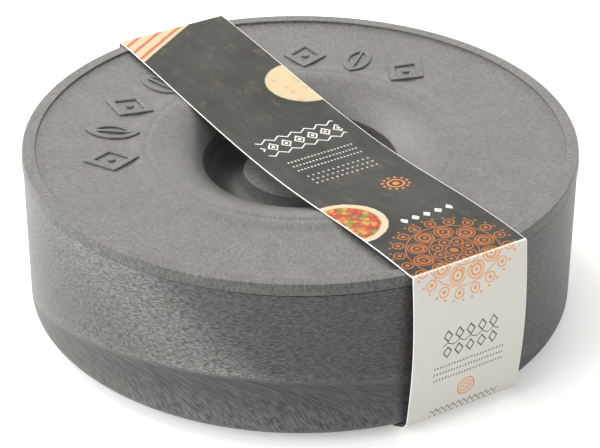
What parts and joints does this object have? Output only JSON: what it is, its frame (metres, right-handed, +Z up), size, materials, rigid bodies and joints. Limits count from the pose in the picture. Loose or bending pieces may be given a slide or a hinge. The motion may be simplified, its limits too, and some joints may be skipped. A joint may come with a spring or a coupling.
{
  "type": "tortilla warmer",
  "caption": "Low round moulded warmer for flatbreads: bowl, lift-off lid with a sunk round grip in a finger well, and a card sleeve wrapped over the top and under the foot.",
  "frame": {"origin": "middle of the face that the object stands on, which is the underside of the card sleeve's bottom panel", "axes": "+Z up out of the lid, Y along the sleeve's run over the lid, X across the sleeve, -Y towards the end panel that the picture shows"},
  "size_m": [0.216, 0.2214, 0.0703],
  "materials": {
    "bowl_plastic": "semi-matt moulded, fine streaks",
    "lid_plastic": "semi-matt moulded, fine radial speckle",
    "printed_card": "satin printed board",
    "plain_card": "satin board"
  },
  "bodies": {
    "bowl": {"bowl": "bowl_plastic"},
    "lid": {"lid": "lid_plastic"},
    "sleeve_band": {"sleeve_band": "printed_card"},
    "sleeve_bottom": {"sleeve_bottom": "plain_card"}
  },
  "joints": [
    {"name": "lid_lift", "type": "slide", "parent": "bowl", "child": "lid", "axis": [0, 0, 1], "range_m": [0, 0.08]},
    {"name": "sleeve_slide", "type": "slide", "parent": "lid", "child": "sleeve_band", "axis": [1, 0, 0], "range_m": [-0.14, 0.14]},
    {"name": "sleeve_bottom_slide", "type": "slide", "parent": "bowl", "child": "sleeve_bottom", "axis": [1, 0, 0], "range_m": [-0.14, 0.14]}
  ],
  "couplings": [
    {"joint": "sleeve_bottom_slide", "follows": "sleeve_slide", "ratio": 1}
  ]
}
